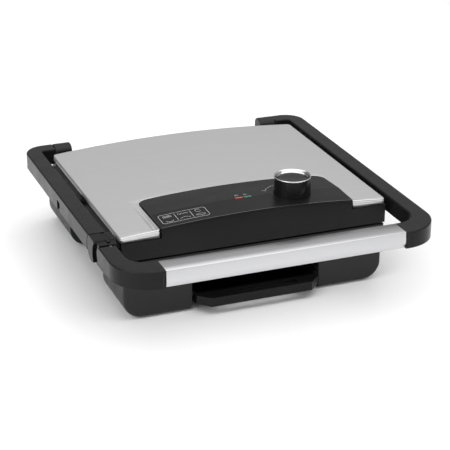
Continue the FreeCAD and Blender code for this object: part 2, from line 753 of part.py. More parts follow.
def height_selector():
    """Round cam knob in the left arm; its flat lies level with the arm when the lid is free."""
    body = new_body("height_selector")
    tongue = -arm_inner + driving("selector_tongue")
    rod(body, "outer_drum", "X", (-half_width + 0.2, -strip_outer - joint_gap), selector_spot,
        selector_radius)
    rod(body, "cam_shaft", "X", (-strip_outer - 1, -strip_inner + 1), selector_spot, pin_radius)
    rod(body, "inner_cam", "X", (-strip_inner + joint_gap, tongue), selector_spot, selector_radius)
    dress(body, "Fillet", "drum_edges", 0.8, lambda edge: edge.Curve.TypeId == "Part::GeomCircle"
          and edge.Curve.Radius > value(selector_radius) - 0.01)
    box(body, "flat", (-half_width - 1, tongue + 1), (selector_spot[0] - 20, selector_spot[0] + 20),
        (arm_top - 0.4, arm_top + 10), cut=True)
    rod(body, "finger_notch", "X", (-half_width - 1, -half_width + 3.6),
        (selector_spot[0] - 22, selector_spot[1] - 4), 17.5, cut=True)
    return node(body, "height_selector")


def frame_inner_parts():
    for side, tag in SIDES:
        strip = new_body(f"arm_strip_{tag}")
        box(strip, f"strip_{tag}", mirrored(side, strip_inner, strip_outer),
            (15.5 - half_depth, half_depth - 5.3), (strip_low, strip_high))
        holes = [("hinge", hinge_spot, bore_radius), ("pivot", pivot_spot, bore_radius),
                 ("core", core_spot, 1.9)]
        if side < 0:
            holes.append(("cam", selector_spot, bore_radius))
        for name, spot, radius in holes:
            rod(strip, f"{name}_hole_{tag}", "X", mirrored(side, strip_inner - 1, strip_outer + 1), spot,
                radius, cut=True)
        node(strip, f"arm_strip_{tag}")
        pins = (("hinge_pin", hinge_inner + 1.5, hinge_spot, 3.8, 0.9),
                ("pivot_pin", cover_half - 9, pivot_spot, 4.8, 2.6))
        for name, inner_end, spot, head, thick in pins:
            pin = new_body(f"{name}_{tag}")
            rod(pin, f"{name}_shank_{tag}", "X", mirrored(side, inner_end, strip_outer + 1), spot,
                pin_radius)
            rod(pin, f"{name}_head_{tag}", "X", mirrored(side, strip_outer + 0.1, strip_outer + thick),
                spot, head)
            node(pin, f"{name}_{tag}")
        bush = new_body(f"pivot_bush_{tag}")
        rod(bush, f"bush_{tag}", "X", mirrored(side, cover_half + 0.4, strip_inner - 0.2), pivot_spot, 7)
        rod(bush, f"bush_bore_{tag}", "X", mirrored(side, cover_half - 1, strip_inner + 1), pivot_spot,
            bore_radius, cut=True)
        node(bush, f"pivot_bush_{tag}")
        block = new_body(f"hinge_bush_{tag}")
        box(block, f"hinge_block_{tag}", mirrored(side, hinge_outer + joint_gap, arm_inner - 5.5),
            (rear_inner + arm_wall + 0.2, half_depth - arm_wall - 0.2),
            (arm_low + arm_wall + 0.2, arm_top - arm_wall - 0.2))
        rod(block, f"hinge_bore_{tag}", "X", mirrored(side, hinge_outer, arm_inner), hinge_spot, bore_radius,
            cut=True)
        node(block, f"hinge_bush_{tag}")
    core = new_body("handle_core")
    reach = strip_inner - 0.2
    box(core, "core_bar", (-reach, reach), (core_spot[0] - 3.5, core_spot[0] + 3.5), (strip_low, strip_high))
    for side, tag in SIDES:
        rod(core, f"core_pilot_{tag}", "X", mirrored(side, reach - 15, reach + 1), core_spot, 1.75, cut=True)
    node(core, "handle_core")
    sleeve = new_body("handle_sleeve")
    box(sleeve, "sleeve_bar", (-bar_half, bar_half), (-half_depth, bar_rear), (arm_low, arm_top))
    dress(sleeve, "Fillet", "sleeve_edges", 2.0, lambda edge: direction(edge) == "X")
    box(sleeve, "sleeve_bore", (-bar_half - 1, bar_half + 1), (1.5 - half_depth, bar_rear - 1.5),
        (arm_low + 1.5, arm_top - 1.5), cut=True)
    node(sleeve, "handle_sleeve")
    screws = []
    for side, tag in SIDES:
        head = rod(None, f"frame_head_{tag}", "X", mirrored(side, strip_outer + 0.1, strip_outer + 2.2),
                   core_spot, 2.8)
        shank = rod(None, f"frame_shank_{tag}", "X", mirrored(side, strip_inner - 12, strip_outer + 1),
                    core_spot, 1.7)
        screws.append(combine("Fuse", f"frame_screw_{tag}", head, [shank]))
    group("frame_screws", screws)


# ---------------------------------------------------------------------------- lid

def lid_housing():
    body = new_body("lid_housing")
    half = cover_half - cover_sheet - 0.2
    front = cover_front + cover_sheet + 0.1
    rear = cover_rear - cover_sheet - 0.2
    wall = 2.5
    box(body, "housing_block", (-half, half), (front, rear), (lid_bottom, cover_side - cover_sheet - 0.5))
    dress(body, "Fillet", "housing_corners", 4.5, upright(lambda c: True))
    box(body, "housing_room", (wall - half, half - wall), (front + wall, rear - wall),
        (upper_face - 0.1, cover_side + 1), cut=True)
    box(body, "plate_window", (1.5 - plate_half, plate_half - 1.5), (plate_front + 1.5, plate_rear - 1.5),
        (lid_bottom - 1, lid_bottom + wall + 1), cut=True)
    for side, tag in SIDES:
        rod(body, f"pivot_hole_{tag}", "X", mirrored(side, half - wall - 1, half + 1), pivot_spot,
            pin_radius + 0.6, cut=True)
    return node(body, "lid_housing")


def cambered(name, half, along, up, radius, crown):
    """Block whose top is a shallow arch from side to side."""
    block = new_body(f"{name}_block")
    box(block, f"{name}_box", (-half, half), along, up)
    dress(block, "Fillet", f"{name}_corners", 4, upright(lambda c: True))
    arch = rod(None, f"{name}_arch", "Y", (along[0] - 1, along[1] + 1), (0, crown - radius), radius)
    return combine("Common", name, block, [arch])


def lid_cover():
    crown = cover_side + camber
    outside = cambered("cover_outside", cover_half, (cover_front, cover_rear), (cover_low, crown + 2),
                       cover_radius, crown)
    inside = cambered("cover_inside", cover_half - cover_sheet,
                      (cover_front + cover_sheet, cover_rear - cover_sheet), (cover_low - 2, crown + 2),
                      cover_radius, crown - cover_sheet)
    window = new_body("panel_window")
    box(window, "window_box", (panel_left - 0.5, panel_right + 0.5), (cover_front - 2, panel_rear + 0.5),
        (cover_low - 1, crown + 2))
    dress(window, "Fillet", "window_corners", driving("panel_round") + 0.5,
          upright(lambda c: c.y > value(panel_rear)))
    return node(combine("Cut", "lid_cover", outside, [inside, window]), "lid_cover")


def panel_block(name, inset, low, front_end):
    """Solid under the control panel's two gently arched slopes, shrunk by inset."""
    radius = driving("panel_arch")
    ridge = (driving("panel_ridge"), driving("panel_ridge_top") - inset)
    front = (fascia_face, driving("panel_front_top") - inset)
    rear = (panel_rear, driving("panel_rear_top") - inset)
    block = new_body(f"{name}_block")
    box(block, f"{name}_box", (panel_left + inset, panel_right - inset),
        (front_end, panel_rear - inset), (low, driving("panel_ridge_top") + 3))
    dress(block, "Fillet", f"{name}_corners", driving("panel_round") - inset,
          upright(lambda c: c.y > value(panel_rear) - 5))
    slopes = [tilted_cylinder(f"{name}_front_slope", radius, front, ridge, fascia_face - 40, 260),
              tilted_cylinder(f"{name}_rear_slope", radius, ridge, rear, fascia_face - 40, 260)]
    return combine("Common", name, block, slopes)


def control_panel():
    outside = panel_block("panel_outside", Size("0.0", 0.0), cover_side - 1, fascia_face)
    inside = panel_block("panel_inside", Size(f"{panel_skin}", panel_skin), cover_low, fascia_face - 1)
    cuts = [inside, rod(None, "shaft_gap", "Z", (95, 115), knob_spot, shaft_radius + 0.6),
            rod(None, "knob_well", "Z", (knob_bottom - 0.4, 115), knob_spot, knob_radius + 0.6)]
    for number, low_x in enumerate(lens_starts):
        cuts.append(box(None, f"lens_gap{number}", (low_x - 0.1, low_x + 8.7),
                        (driving("panel_ridge") - 1.3, driving("panel_ridge") + 1.3), (95, 115)))
    return node(combine("Cut", "control_panel", outside, cuts), "control_panel")


def lid_fascia():
    """Front plate of the lid, with a raised middle that carries the panel's front edge."""
    front = (fascia_face, fascia_face + 2.4)
    radius = driving("panel_arch")
    sink = panel_skin + 0.3
    wide = box(None, "fascia_wide", (0.4 - cover_half, cover_half - 0.4), front,
               (lid_bottom, cover_low - 0.2))
    step = box(None, "fascia_step", (panel_left + 0.2, panel_right - 0.2), front,
               (lid_bottom, cover_side - 1.2))
    tall = box(None, "fascia_tall", (panel_left + sink, panel_right - sink), front, (lid_bottom, 115))
    arch = rod(None, "fascia_arch", "Y", (front[0] - 1, front[1] + 1),
               (0, driving("panel_front_top") - panel_skin - 0.2 - radius), radius)
    raised = combine("Common", "fascia_raised", tall, [arch])
    return node(combine("Fuse", "lid_fascia", wide, [step, raised]), "lid_fascia")


def turned(label, points):
    """Piece of revolution about the knob's upright axis, from (radius, height) points."""
    body = new_body(label)
    profile = new_sketch(body, f"{label}_profile", "XZ_Plane", -knob_spot[1])
    bind(profile, "AttachmentOffset.Base.x", knob_spot[0])
    outline(profile, points)
    spin = body.newObject("PartDesign::Revolution", f"{label}_spin")
    spin.Profile = profile
    spin.ReferenceAxis = (profile, ["V_Axis"])
    spin.Angle = 360
    return node(body, label)


def knob_parts():
    rim = knob_top - 1.8
    face = knob_top - 4.6
    deck = face - 2
    wall = knob_radius - 2.2
    turned("knob_body", [(shaft_radius, knob_bottom + 0.8), (5.5, knob_bottom + 0.8), (5.5, deck),
                         (wall, deck), (wall, knob_bottom), (knob_radius, knob_bottom),
                         (knob_radius - 0.5, rim),
                         (knob_radius - 3.1, rim), (knob_radius - 3.1, face), (0, face), (0, deck),
                         (shaft_radius, deck)])
    turned("knob_ring", [(knob_radius - 3.1, rim), (knob_radius - 0.4, rim), (knob_radius - 0.1, rim + 0.7),
                         (knob_radius - 0.6, knob_top), (knob_radius - 1.6, knob_top),
                         (knob_radius - 3.1, rim + 0.5)])
    turned("knob_cap", [(0, face + 0.05), (knob_radius - 3.3, face + 0.05), (knob_radius - 3.3, face + 0.9),
                        (knob_radius - 5, face + 1.3), (0, face + 1.3)])
    shaft = new_body("thermostat_shaft")
    rod(shaft, "shaft_rod", "Z", (102.5, deck - 0.05), knob_spot, shaft_radius - 0.02)
    node(shaft, "thermostat_shaft")
    thermostat = new_body("thermostat")
    rod(thermostat, "thermostat_case", "Z", (93.4, 105.2), knob_spot, 16.5)
    box(thermostat, "thermostat_tabs", (knob_spot[0] - 22, knob_spot[0] + 22),
        (knob_spot[1] - 4, knob_spot[1] + 4), (104, 105.2))
    rod(thermostat, "thermostat_bore", "Z", (102, 106), knob_spot, shaft_radius + 0.05, cut=True)
    node(thermostat, "thermostat")


def lid_small_parts():
    ridge = driving("panel_ridge")
    for low_x, colour in zip(lens_starts, ("red", "green")):
        lens = new_body(f"lens_{colour}")
        box(lens, f"lens_block_{colour}", (low_x, low_x + 8.6), (ridge - 1.2, ridge + 1.2),
            (105, driving("panel_ridge_top") + 0.2))
        node(lens, f"lens_{colour}")
    group("indicator_lamps", [rod(None, f"lamp{number}", "Z", (93.5, 104.5), (low_x + 4.3, ridge), 2.2)
                              for number, low_x in enumerate(lens_starts)])
    for side, tag in SIDES:
        bracket = new_body(f"pivot_bracket_{tag}")
        inner_face = cover_half - cover_sheet - 0.2 - 2.5
        box(bracket, f"bracket_{tag}", mirrored(side, inner_face - 3.2, inner_face - 0.1),
            (pivot_spot[0] - 18, pivot_spot[0] + 18), (lid_bottom + 2.8, cover_side - 2.5))
        rod(bracket, f"bracket_hub_{tag}", "X", mirrored(side, inner_face - 6.5, inner_face - 3),
            pivot_spot, 8)
        rod(bracket, f"bracket_bore_{tag}", "X", mirrored(side, inner_face - 8, inner_face + 1), pivot_spot,
            bore_radius, cut=True)
        node(bracket, f"pivot_bracket_{tag}")
    fuse = rod(None, "thermal_fuse", "X", (-14, 14), (20, upper_back + 3.7), 3.5)
    node(fuse, "thermal_fuse")
    group("upper_plate_screws", [screw(f"upper_screw{number}", spot, 3.6, 1.55, 92.5, 94.8, 81)
                                 for number, spot in enumerate(post_spots)])


# ----------------------------------------------------------------- build and write

base_tub()
base_legs()
base_rim()
cooking_plate("lower_plate", lower_face, lower_back, lower_face + rib_height)
heating_element("lower_element", lower_back - element_radius - 0.1)
reflector("lower_reflector", -84, 48, 60, True, 5.4)
drip_tray()
base_small_parts()
frame_pieces()
arm_link()
height_selector()
frame_inner_parts()
lid_housing()
lid_cover()
control_panel()
lid_fascia()
cooking_plate("upper_plate", upper_face, upper_back, upper_face - rib_height)
heating_element("upper_element", upper_back + element_radius + 0.1)
reflector("upper_reflector", -96, upper_back + 2, 92.4, False, 2)
knob_parts()
lid_small_parts()
doc.recompute()

for item in doc.Objects:
    if {"Invalid", "Error"} & set(item.State):
        raise RuntimeError(f"{item.Label} did not compute: {item.State}")
for item in nodes:
    if item.Shape.isNull() or not item.Shape.isValid() or not item.Shape.Solids:
        raise RuntimeError(f"{item.Label} has no valid solid")

os.makedirs("parts", exist_ok=True)
for item in nodes:
    item.Shape.exportStep(f"parts/{item.Label}.step")
    print(f"{item.Label:22s} solids {len(item.Shape.Solids):2d}  volume {item.Shape.Volume / 1000:8.1f} cm3")
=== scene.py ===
import json
import math

import bmesh
import bpy
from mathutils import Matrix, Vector
from mathutils.bvhtree import BVHTree
from mathutils.geometry import delaunay_2d_cdt


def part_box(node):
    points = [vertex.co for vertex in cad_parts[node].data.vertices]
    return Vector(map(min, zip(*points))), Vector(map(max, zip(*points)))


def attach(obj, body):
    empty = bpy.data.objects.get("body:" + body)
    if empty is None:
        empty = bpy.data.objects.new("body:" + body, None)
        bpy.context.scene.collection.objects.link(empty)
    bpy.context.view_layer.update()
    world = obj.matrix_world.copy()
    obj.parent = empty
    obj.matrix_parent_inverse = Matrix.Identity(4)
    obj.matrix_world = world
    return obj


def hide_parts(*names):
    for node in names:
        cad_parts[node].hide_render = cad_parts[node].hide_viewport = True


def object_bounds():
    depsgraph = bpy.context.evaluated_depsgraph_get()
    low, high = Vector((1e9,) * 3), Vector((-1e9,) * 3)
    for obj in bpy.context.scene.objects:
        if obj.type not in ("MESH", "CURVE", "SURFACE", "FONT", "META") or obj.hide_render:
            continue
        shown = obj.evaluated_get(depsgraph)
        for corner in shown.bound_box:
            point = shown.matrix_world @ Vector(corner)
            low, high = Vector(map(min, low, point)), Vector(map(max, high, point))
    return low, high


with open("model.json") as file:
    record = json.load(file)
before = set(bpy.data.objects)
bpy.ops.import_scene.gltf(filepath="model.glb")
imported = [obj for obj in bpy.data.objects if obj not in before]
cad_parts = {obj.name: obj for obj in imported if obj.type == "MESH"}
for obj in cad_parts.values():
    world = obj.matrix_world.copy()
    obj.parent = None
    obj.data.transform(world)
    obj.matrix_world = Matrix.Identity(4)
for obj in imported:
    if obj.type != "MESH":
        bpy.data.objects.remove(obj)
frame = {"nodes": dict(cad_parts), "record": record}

cad_low, cad_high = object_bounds()
NODES = frame["nodes"]
SLOT_OF = {row["node"]: row["material_slot"] for row in frame["record"]["subparts"]}


# ---------------------------------------------------------------- camera and light

def aim(thing, place, target):
    thing.location = place
    thing.rotation_euler = (Vector(target) - Vector(place)).to_track_quat("-Z", "Y").to_euler()


def add_camera():
    azimuth, elevation, distance = math.radians(-21.18), math.radians(23.21), 1.7554
    off_centre = Vector((0.0046, -0.0031, -0.0183))
    target = (cad_low + cad_high) / 2 + off_centre
    back = Vector((math.sin(azimuth) * math.cos(elevation), -math.cos(azimuth) * math.cos(elevation),
                   math.sin(elevation)))
    data = bpy.data.cameras.new("camera")
    data.sensor_width = 36
    data.lens = 119.4
    data.clip_end = 50
    camera = bpy.data.objects.new("camera", data)
    bpy.context.scene.collection.objects.link(camera)
    aim(camera, target + back * distance, target)
    bpy.context.scene.camera = camera


def add_softbox(name, place, target, size, radiance):
    data = bpy.data.lights.new(name, "AREA")
    data.shape = "RECTANGLE"
    data.size, data.size_y = size
    data.energy = radiance * math.pi * size[0] * size[1]
    light = bpy.data.objects.new(name, data)
    bpy.context.scene.collection.objects.link(light)
    aim(light, place, target)


def add_world():
    """White surroundings, bright towards the front and dimmer towards the rear."""
    world = bpy.data.worlds.new("studio")
    bpy.context.scene.world = world
    world.use_nodes = True
    nodes, links = world.node_tree.nodes, world.node_tree.links
    sky = nodes["Background"]
    sky.inputs["Color"].default_value = (1, 1, 1, 1)
    toward = nodes.new("ShaderNodeTexCoord").outputs["Generated"]
    split = nodes.new("ShaderNodeSeparateXYZ")
    fade = nodes.new("ShaderNodeMapRange")
    for key, number in (("From Min", -0.6), ("From Max", 0.8), ("To Min", 0.90), ("To Max", 0.27)):
        fade.inputs[key].default_value = number
    links.new(toward, split.inputs["Vector"])
    links.new(split.outputs["Y"], fade.inputs["Value"])
    links.new(fade.outputs["Result"], sky.inputs["Strength"])


# ------------------------------------------------------------------------ materials

class Shader:
    """One procedural material and the few node patterns that the materials share."""

    def __init__(self, name):
        self.material = bpy.data.materials.new(name)
        self.material.use_nodes = True
        self.tree = self.material.node_tree
        self.tree.nodes.clear()
        self.surface = self.add("ShaderNodeBsdfPrincipled")
        output = self.add("ShaderNodeOutputMaterial")
        self.link(self.surface.outputs["BSDF"], output.inputs["Surface"])
        self.place = self.add("ShaderNodeTexCoord").outputs["Object"]

    def add(self, kind):
        return self.tree.nodes.new(kind)

    def link(self, source, target):
        self.tree.links.new(source, target)

    def stretched(self, stretch):
        mapping = self.add("ShaderNodeMapping")
        mapping.inputs["Scale"].default_value = stretch
        self.link(self.place, mapping.inputs["Vector"])
        return mapping.outputs["Vector"]

    def noise(self, scale, stretch=(1, 1, 1), detail=3.0, roughness=0.5):
        made = self.add("ShaderNodeTexNoise")
        made.inputs["Scale"].default_value = scale
        made.inputs["Detail"].default_value = detail
        made.inputs["Roughness"].default_value = roughness
        self.link(self.stretched(stretch), made.inputs["Vector"])
        return made.outputs["Fac"]

    def cells(self, scale):
        made = self.add("ShaderNodeTexVoronoi")
        made.inputs["Scale"].default_value = scale
        self.link(self.place, made.inputs["Vector"])
        return made.outputs["Distance"]

    def span(self, source, low, high, start=0.3, end=0.7):
        made = self.add("ShaderNodeMapRange")
        for key, number in (("From Min", start), ("From Max", end), ("To Min", low), ("To Max", high)):
            made.inputs[key].default_value = number
        self.link(source, made.inputs["Value"])
        return made.outputs["Result"]

    def ramp(self, source, *stops):
        made = self.add("ShaderNodeValToRGB")
        elements = made.color_ramp.elements
        while len(elements) < len(stops):
            elements.new(0.5)
        for element, (position, colour) in zip(elements, stops):
            element.position = position
            element.color = (*colour, 1)
        self.link(source, made.inputs["Fac"])
        return made.outputs["Color"]

    def bump(self, height, distance, strength=1.0, under=None):
        made = self.add("ShaderNodeBump")
        made.inputs["Distance"].default_value = distance
        made.inputs["Strength"].default_value = strength
        self.link(height, made.inputs["Height"])
        if under is not None:
            self.link(under, made.inputs["Normal"])
        return made.outputs["Normal"]

    def finish(self, colour, roughness, normal=None, **constants):
        self.link(colour, self.surface.inputs["Base Color"])
        self.link(roughness, self.surface.inputs["Roughness"])
        if normal is not None:
            self.link(normal, self.surface.inputs["Normal"])
        for key, number in constants.items():
            self.surface.inputs[key.replace("_", " ")].default_value = number
        return self.material


def shade(colour, factor):
    return tuple(min(1.0, part * factor) for part in colour)


def moulded(name, colour, roughness, grain=0.00004, grain_scale=1500, spread=0.18, **constants):
    """Moulded plastic: fine tool texture, slow tone drift, and slightly uneven gloss."""
    s = Shader(name)
    tone = s.ramp(s.noise(14, detail=4), (0.3, shade(colour, 1 - spread)), (0.7, shade(colour, 1 + spread)))
    gloss = s.span(s.noise(45, detail=5), roughness - 0.04, roughness + 0.05)
    texture = s.bump(s.noise(grain_scale, detail=2), grain, 0.6, s.bump(s.noise(9, detail=1), 0.0002, 0.25))
    return s.finish(tone, gloss, texture, **constants)


def brushed(name, colour, roughness, along="X", depth=0.000012, spread=0.10):
    """Metal with long fine scratches in one direction over a slow change of tone."""
    s = Shader(name)
    fine = {"X": (3, 900, 900), "Y": (900, 3, 900)}[along]
    broad = {"X": (0.7, 90, 90), "Y": (90, 0.7, 90)}[along]
    streaks = s.noise(1, fine, detail=4, roughness=0.6)
    bands = s.noise(1, broad, detail=3)
    tone = s.ramp(streaks, (0.25, shade(colour, 1 - spread)), (0.75, shade(colour, 1 + spread)))
    gloss = s.span(bands, roughness - 0.01, roughness + 0.015)
    return s.finish(tone, gloss, s.bump(streaks, depth, 0.5), Metallic=1.0)


def sheet_metal(name, colour, roughness, crystal=220):
    """Zinc-coated or heat-dulled sheet with a faint crystal pattern."""
    s = Shader(name)
    tone = s.ramp(s.cells(crystal), (0.1, shade(colour, 0.85)), (0.8, shade(colour, 1.15)))
    gloss = s.span(s.noise(120, detail=4), roughness - 0.08, roughness + 0.1)
    return s.finish(tone, gloss, s.bump(s.noise(400), 0.00002, 0.5), Metallic=1.0)


def coated_plate(name):
    """Non-stick coat on cast aluminium: dark with light speckles and a slightly wavy skin."""
    s = Shader(name)
    tone = s.ramp(s.noise(900, detail=1), (0.60, (0.018, 0.018, 0.019)), (0.72, (0.10, 0.10, 0.105)))
    gloss = s.span(s.noise(80, detail=4), 0.36, 0.5)
    return s.finish(tone, gloss, s.bump(s.noise(600, detail=3), 0.00004, 0.6), Metallic=0.2)


def heated_sheath(name):
    """Metal sheath of the heating element, with brown and blue tints from the heat."""
    s = Shader(name)
    tone = s.ramp(s.noise(30, detail=5), (0.3, (0.10, 0.085, 0.08)), (0.5, (0.2, 0.17, 0.15)),
                  (0.7, (0.16, 0.16, 0.2)))
    gloss = s.span(s.noise(150, detail=4), 0.38, 0.6)
    return s.finish(tone, gloss, s.bump(s.noise(900), 0.00003, 0.6), Metallic=0.9)


def lens(name, colour, glow):
    """Tinted light guide: deeper colour in its core and a faint prism texture."""
    s = Shader(name)
    tone = s.ramp(s.cells(900), (0.0, colour), (0.6, shade(colour, 0.7)))
    gloss = s.span(s.noise(200), 0.12, 0.2)
    surface = s.finish(tone, gloss, s.bump(s.cells(900), 0.00005, 0.4), Coat_Weight=0.6)
    s.surface.inputs["Emission Color"].default_value = (*colour, 1)
    s.surface.inputs["Emission Strength"].default_value = glow
    return surface


def clear_lamp(name):
    """Clear and slightly warm glass with uneven gloss."""
    s = Shader(name)
    tone = s.ramp(s.noise(60), (0.3, (0.9, 0.88, 0.8)), (0.7, (1, 0.98, 0.92)))
    gloss = s.span(s.noise(90), 0.05, 0.12)
    return s.finish(tone, gloss, Transmission_Weight=0.9)


def studio_floor(name):
    """Nearly white floor with a slow change of tone."""
    s = Shader(name)
    tone = s.ramp(s.noise(1.5, detail=2), (0.3, (0.90, 0.90, 0.90)), (0.7, (0.92, 0.92, 0.92)))
    gloss = s.span(s.noise(3, detail=2), 0.28, 0.34)
    return s.finish(tone, gloss, Specular_IOR_Level=0.35)


MATERIALS = {
    "base_plastic": moulded("base_plastic", (0.013, 0.013, 0.0135), 0.42, Specular_IOR_Level=0.28),
    "tower_plastic": moulded("tower_plastic", (0.009, 0.009, 0.0095), 0.36, Specular_IOR_Level=0.25),
    "inner_plastic": moulded("inner_plastic", (0.72, 0.70, 0.64), 0.5, spread=0.05),
    "rubber": moulded("rubber", (0.025, 0.025, 0.026), 0.75, grain=0.00008, grain_scale=700),
    "plate_coat": coated_plate("plate_coat"),
    "element_sheath": heated_sheath("element_sheath"),
    "pressed_sheet": sheet_metal("pressed_sheet", (0.62, 0.62, 0.63), 0.32),
    "fastener_steel": sheet_metal("fastener_steel", (0.55, 0.55, 0.56), 0.28, crystal=900),
    "tray_plastic": moulded("tray_plastic", (0.005, 0.005, 0.0055), 0.36, grain=0.00002,
                            Specular_IOR_Level=0.2),
    "housing_plastic": moulded("housing_plastic", (0.003, 0.003, 0.003), 0.6, Specular_IOR_Level=0.12),
    "fascia_plastic": moulded("fascia_plastic", (0.007, 0.007, 0.0075), 0.4, grain=0.00001,
                              Specular_IOR_Level=0.15),
    "frame_plastic": moulded("frame_plastic", (0.008, 0.008, 0.008), 0.26, grain=0.00001,
                             Specular_IOR_Level=0.15),
    "link_plastic": moulded("link_plastic", (0.004, 0.004, 0.0045), 0.24, grain=0.00001,
                            Specular_IOR_Level=0.12),
    "strip_steel": brushed("strip_steel", (0.5, 0.5, 0.51), 0.35, along="Y"),
    "bar_aluminium": brushed("bar_aluminium", (0.55, 0.55, 0.56), 0.32, depth=0.000002, spread=0.02),
    "lid_steel": brushed("lid_steel", (0.67, 0.67, 0.67), 0.45, spread=0.04),
    "panel_plastic": moulded("panel_plastic", (0.007, 0.007, 0.0075), 0.30, grain=0.00001,
                             Specular_IOR_Level=0.15),
    "lamp_glass": clear_lamp("lamp_glass"),
    "lens_red": lens("lens_red", (0.50, 0.07, 0.03), 0.10),
    "lens_green": lens("lens_green", (0.02, 0.22, 0.13), 0.10),
    "knob_plastic": moulded("knob_plastic", (0.006, 0.006, 0.0065), 0.22, grain=0.00001,
                            Specular_IOR_Level=0.25),
    "knob_chrome": brushed("knob_chrome", (0.62, 0.62, 0.63), 0.08, depth=0.000002, spread=0.02),
}
INK = moulded("print_ink", (0.42, 0.42, 0.42), 0.55, spread=0.08)
# Painted shade: near-black material for thin dark pieces that stand in for the shade in seams, creases and
# screw recesses.
PAINTED_SHADE = moulded("painted_shade_dark", (0.003, 0.003, 0.003), 0.6)
# Painted highlight: a light metal for the thin line that stands in for the catch-light along the panel's
# front edge.
PAINTED_HIGHLIGHT = brushed("panel_edge_highlight", (0.30, 0.30, 0.30), 0.4)


def paint(thing, material):
    """Puts the material on every slot without touching the vertices."""
    if not thing.material_slots:
        thing.data.materials.append(material)
    for slot in thing.material_slots:
        slot.material = material


# --------------------------------------------------------------------- mesh helpers

def new_piece(name, body, mesh, material, smooth=True, replaces=()):
    thing = bpy.data.objects.new(name, mesh)
    bpy.context.scene.collection.objects.link(thing)
    paint(thing, material)
    if smooth:
        for polygon in mesh.polygons:
            polygon.use_smooth = True
    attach(thing, body)
    if replaces:
        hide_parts(*replaces)
    return thing


def centre_of(node):
    """Middle of the node's box as seen from above."""
    low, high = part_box(node)
    return (low.x + high.x) / 2, (low.y + high.y) / 2


def mesh_from(name, points, faces):
    mesh = bpy.data.meshes.new(name)
    mesh.from_pydata(points, [], faces)
    mesh.validate()
    mesh.update()
    return mesh


def outwards(mesh):
    """Turns every face of a closed or almost closed mesh to the outside."""
    work = bmesh.new()
    work.from_mesh(mesh)
    bmesh.ops.remove_doubles(work, verts=work.verts, dist=1e-7)
    bmesh.ops.recalc_face_normals(work, faces=work.faces)
    work.to_mesh(mesh)
    work.free()


def mark_sharp(thing, angle):
    """Keeps edges crisp where neighbouring faces meet at more than this angle."""
    mesh = thing.data
    work = bmesh.new()
    work.from_mesh(mesh)
    for edge in work.edges:
        if len(edge.link_faces) == 2 and edge.calc_face_angle() > math.radians(angle):
            edge.smooth = False
    work.to_mesh(mesh)
    work.free()


def joined(nodes):
    """Vertices and faces of several CAD nodes as one list."""
    points, faces = [], []
    for node in nodes:
        mesh = NODES[node].data
        base = len(points)
        points += [v.co[:] for v in mesh.vertices]
        faces += [tuple(base + k for k in p.vertices) for p in mesh.polygons]
    return points, faces


def surface_of(node):
    return BVHTree.FromPolygons(*joined((node,)))


def drop(tree, x, y):
    """Height of the surface at (x, y), seen from far above, or None beside it."""
    far_above = 1.0
    hit = tree.ray_cast(Vector((x, y, far_above)), Vector((0, 0, -1)))[0]
    return hit.z if hit else None


def fine_line(spots, closed, step):
    """The same line with no run longer than step."""
    ends = spots[1:] + spots[:1] if closed else spots[1:]
    line = []
    for start, end in zip(spots, ends):
        start, end = Vector(start), Vector(end)
        pieces = max(1, math.ceil((end - start).length / step))
        line += [start.lerp(end, k / pieces) for k in range(pieces)]
    return line if closed else line + [Vector(spots[-1])]


RIBBON_STEP = 0.0015


def ribbons(name, lines, width, tree, lift, body, material):
    """Thin raised lines of even width that lie on a surface; each line is (spots, closed)."""
    points, faces = [], []
    for spots, closed in lines:
        line = fine_line(spots, closed, RIBBON_STEP)
        count = len(line)
        base = len(points)
        for k, spot in enumerate(line):
            before = line[k - 1] if k or closed else spot
            after = line[(k + 1) % count] if k < count - 1 or closed else spot
            run = (after - before).normalized()
            side = Vector((-run.y, run.x)) * width / 2
            for edge in (spot + side, spot - side):
                ground = drop(tree, edge.x, edge.y)
                points += [(edge.x, edge.y, ground + lift), (edge.x, edge.y, ground - lift)]
        for k in range(count if closed else count - 1):
            a, b = base + 4 * k, base + 4 * ((k + 1) % count)
            faces += [(a, a + 2, b + 2, b), (a + 1, a, b, b + 1), (a + 2, a + 3, b + 3, b + 2),
                      (a + 3, a + 1, b + 1, b + 3)]
        if not closed:
            a, b = base, base + 4 * (count - 1)
            faces += [(a, a + 1, a + 3, a + 2), (b, b + 2, b + 3, b + 1)]
    mesh = mesh_from(name, points, faces)
    outwards(mesh)
    new_piece(name, body, mesh, material, smooth=False)


def arc(centre, radius, start, end, steps):
    """Points on an arc between two angles in degrees."""
    angles = [math.radians(start + (end - start) * k / steps) for k in range(steps + 1)]
    return [(centre[0] + radius * math.cos(a), centre[1] + radius * math.sin(a)) for a in angles]


def lathe(name, centre, profile, body, material, replaces):
    """Closed ring or disc of revolution about an upright axis, from (radius, height) points."""
    points, faces = [], []
    steps, count = 96, len(profile)
    for k in range(steps):
        a = 2 * math.pi * k / steps
        points += [(centre[0] + r * math.cos(a), centre[1] + r * math.sin(a), z) for r, z in profile]
    for k in range(steps):
        a, b = k * count, (k + 1) % steps * count
        faces += [(a + n, b + n, b + (n + 1) % count, a + (n + 1) % count) for n in range(count)]
    mesh = mesh_from(name, points, faces)
    outwards(mesh)
    new_piece(name, body, mesh, material, replaces=replaces)


# ------------------------------------------------------------------------- lid skin

def rounded_outline(corners, steps=6):
    """Closed outline from (x, y, radius) corners, counter-clockwise."""
    line = []
    for k, (x, y, radius) in enumerate(corners):
        spot = Vector((x, y))
        before = (Vector(corners[k - 1][:2]) - spot).normalized()
        after = (Vector(corners[(k + 1) % len(corners)][:2]) - spot).normalized()
        reach = radius / math.tan(before.angle(after) / 2)
        centre = spot + (before + after).normalized() * (radius / math.sin(before.angle(after) / 2))
        start, end = spot + before * reach - centre, spot + after * reach - centre
        turn = start.angle_signed(end)
        for n in range(steps + 1):
            a = -turn * n / steps
            line.append(centre + Vector((start.x * math.cos(a) - start.y * math.sin(a),
                                         start.x * math.sin(a) + start.y * math.cos(a))))
    return line


